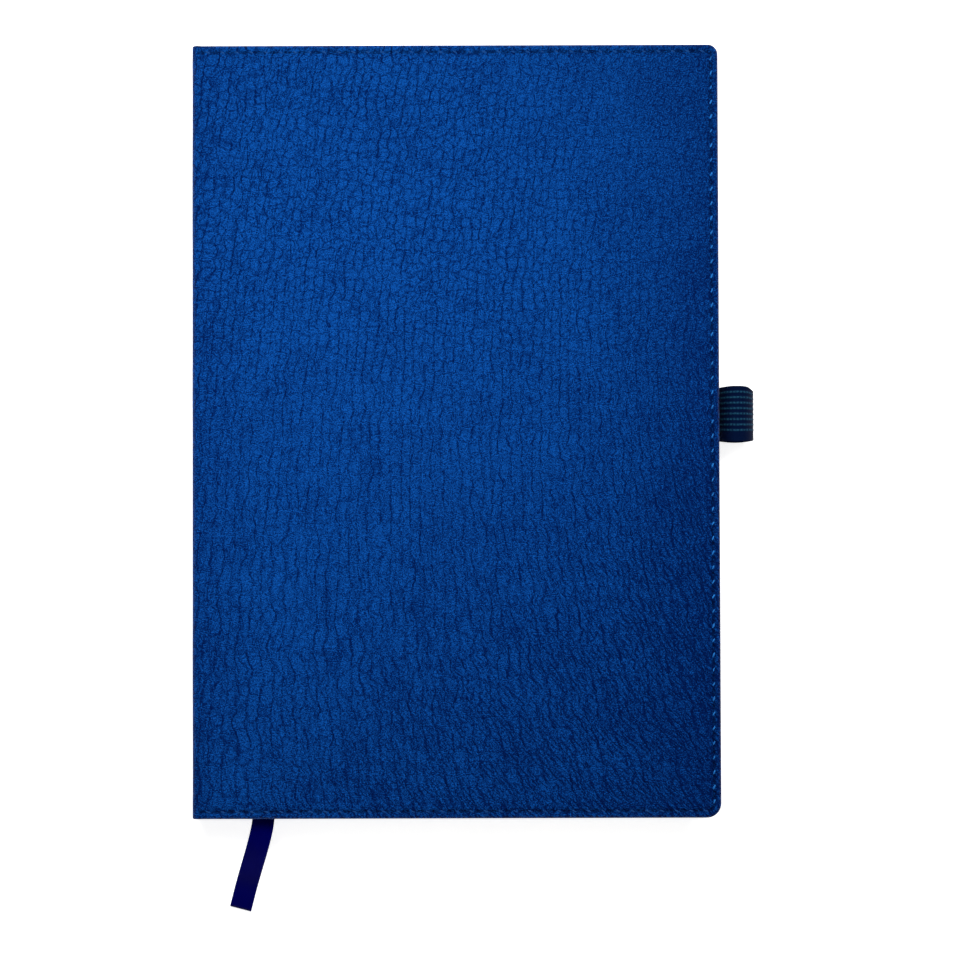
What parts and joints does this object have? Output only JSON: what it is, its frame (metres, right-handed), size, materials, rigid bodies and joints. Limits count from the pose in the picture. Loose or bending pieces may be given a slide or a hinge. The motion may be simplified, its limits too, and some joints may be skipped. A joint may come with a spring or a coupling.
{
  "type": "pilot logbook",
  "caption": "Case-bound logbook with flexible stitched leather covers, sewn leaves, a marker ribbon and an elastic pen loop.",
  "frame": {"origin": "middle of the back cover's outer face, which the closed book rests on", "axes": "+X from the spine to the fore-edge, +Y from the tail to the head, +Z from the back cover to the front cover"},
  "size_m": [0.1531, 0.2374, 0.017],
  "materials": {
    "leather": "pebbled satin",
    "board": "matte",
    "card": "matte",
    "endpaper": "matte",
    "page": "matte",
    "thread": "satin",
    "sewing_thread": "matte",
    "mull": "matte",
    "headband_cloth": "striped satin",
    "ribbon": "satin",
    "elastic": "ribbed matte"
  },
  "bodies": {
    "book_block": {"spine_leather": "leather", "spine_board": "card", "spine_lining": "card", "spine_mull": "mull", "headband": "headband_cloth", "tailband": "headband_cloth", "spine_stitching": "thread", "section_sewing": "sewing_thread", "first_section_folds": "page", "section_02": "page", "section_03": "page", "section_04": "page", "section_05": "page", "section_06": "page", "section_07": "page", "section_08": "page", "section_09": "page", "section_10": "page", "ribbon_marker": "ribbon"},
    "front_cover": {"front_cover_leather": "leather", "front_cover_board": "board", "front_cover_infill": "card", "front_cover_pastedown": "endpaper", "front_cover_stitching": "thread"},
    "back_cover": {"back_cover_leather": "leather", "back_cover_board": "board", "back_cover_infill": "card", "back_cover_pastedown": "endpaper", "back_cover_stitching": "thread", "pen_loop_tab": "elastic"},
    "pen_loop": {"pen_loop": "elastic"},
    "front_flyleaf": {"front_flyleaf": "endpaper"},
    "back_flyleaf": {"back_flyleaf": "endpaper"},
    "leaf_1": {"leaf_1": "page"},
    "leaf_2": {"leaf_2": "page"},
    "leaf_3": {"leaf_3": "page"},
    "leaf_4": {"leaf_4": "page"},
    "leaf_5": {"leaf_5": "page"},
    "leaf_6": {"leaf_6": "page"},
    "leaf_7": {"leaf_7": "page"},
    "leaf_8": {"leaf_8": "page"}
  },
  "joints": [
    {"name": "front_cover_hinge", "type": "hinge", "parent": "book_block", "child": "front_cover", "pos_m": [-0.07007, 0, 0.01554], "axis": [0, -1, 0], "range_deg": [0, 178]},
    {"name": "back_cover_hinge", "type": "hinge", "parent": "book_block", "child": "back_cover", "pos_m": [-0.07007, 0, 0.00143], "axis": [0, 1, 0], "range_deg": [0, 178]},
    {"name": "pen_loop_flex", "type": "hinge", "parent": "back_cover", "child": "pen_loop", "pos_m": [0.0715, 0.0047, 0.0015], "axis": [0, -1, 0], "range_deg": [-20, 12], "stiffness_Nm_per_rad": 0.002},
    {"name": "front_flyleaf_turn", "type": "hinge", "parent": "book_block", "child": "front_flyleaf", "pos_m": [-0.07007, 0, 0.01554], "axis": [0, -1, 0], "range_deg": [0, 178]},
    {"name": "leaf_1_turn", "type": "hinge", "parent": "book_block", "child": "leaf_1", "pos_m": [-0.07007, 0, 0.01554], "axis": [0, -1, 0], "range_deg": [0, 178]},
    {"name": "leaf_2_turn", "type": "hinge", "parent": "book_block", "child": "leaf_2", "pos_m": [-0.07007, 0, 0.01554], "axis": [0, -1, 0], "range_deg": [0, 178]},
    {"name": "leaf_3_turn", "type": "hinge", "parent": "book_block", "child": "leaf_3", "pos_m": [-0.07007, 0, 0.01554], "axis": [0, -1, 0], "range_deg": [0, 178]},
    {"name": "leaf_4_turn", "type": "hinge", "parent": "book_block", "child": "leaf_4", "pos_m": [-0.07007, 0, 0.01554], "axis": [0, -1, 0], "range_deg": [0, 178]},
    {"name": "leaf_5_turn", "type": "hinge", "parent": "book_block", "child": "leaf_5", "pos_m": [-0.07007, 0, 0.01554], "axis": [0, -1, 0], "range_deg": [0, 178]},
    {"name": "leaf_6_turn", "type": "hinge", "parent": "book_block", "child": "leaf_6", "pos_m": [-0.07007, 0, 0.01554], "axis": [0, -1, 0], "range_deg": [0, 178]},
    {"name": "leaf_7_turn", "type": "hinge", "parent": "book_block", "child": "leaf_7", "pos_m": [-0.07007, 0, 0.01554], "axis": [0, -1, 0], "range_deg": [0, 178]},
    {"name": "leaf_8_turn", "type": "hinge", "parent": "book_block", "child": "leaf_8", "pos_m": [-0.07007, 0, 0.01554], "axis": [0, -1, 0], "range_deg": [0, 178]},
    {"name": "back_flyleaf_turn", "type": "hinge", "parent": "book_block", "child": "back_flyleaf", "pos_m": [-0.07007, 0, 0.00143], "axis": [0, 1, 0], "range_deg": [0, 178]}
  ],
  "couplings": [
    {"joint": "front_flyleaf_turn", "follows": "front_cover_hinge", "ratio": 0.99},
    {"joint": "leaf_1_turn", "follows": "front_cover_hinge", "ratio": 0.9865},
    {"joint": "leaf_2_turn", "follows": "front_cover_hinge", "ratio": 0.983},
    {"joint": "leaf_3_turn", "follows": "front_cover_hinge", "ratio": 0.9795},
    {"joint": "leaf_4_turn", "follows": "front_cover_hinge", "ratio": 0.976},
    {"joint": "leaf_5_turn", "follows": "front_cover_hinge", "ratio": 0.9725},
    {"joint": "leaf_6_turn", "follows": "front_cover_hinge", "ratio": 0.969},
    {"joint": "leaf_7_turn", "follows": "front_cover_hinge", "ratio": 0.9655},
    {"joint": "leaf_8_turn", "follows": "front_cover_hinge", "ratio": 0.962},
    {"joint": "back_flyleaf_turn", "follows": "back_cover_hinge", "ratio": 0.985}
  ]
}
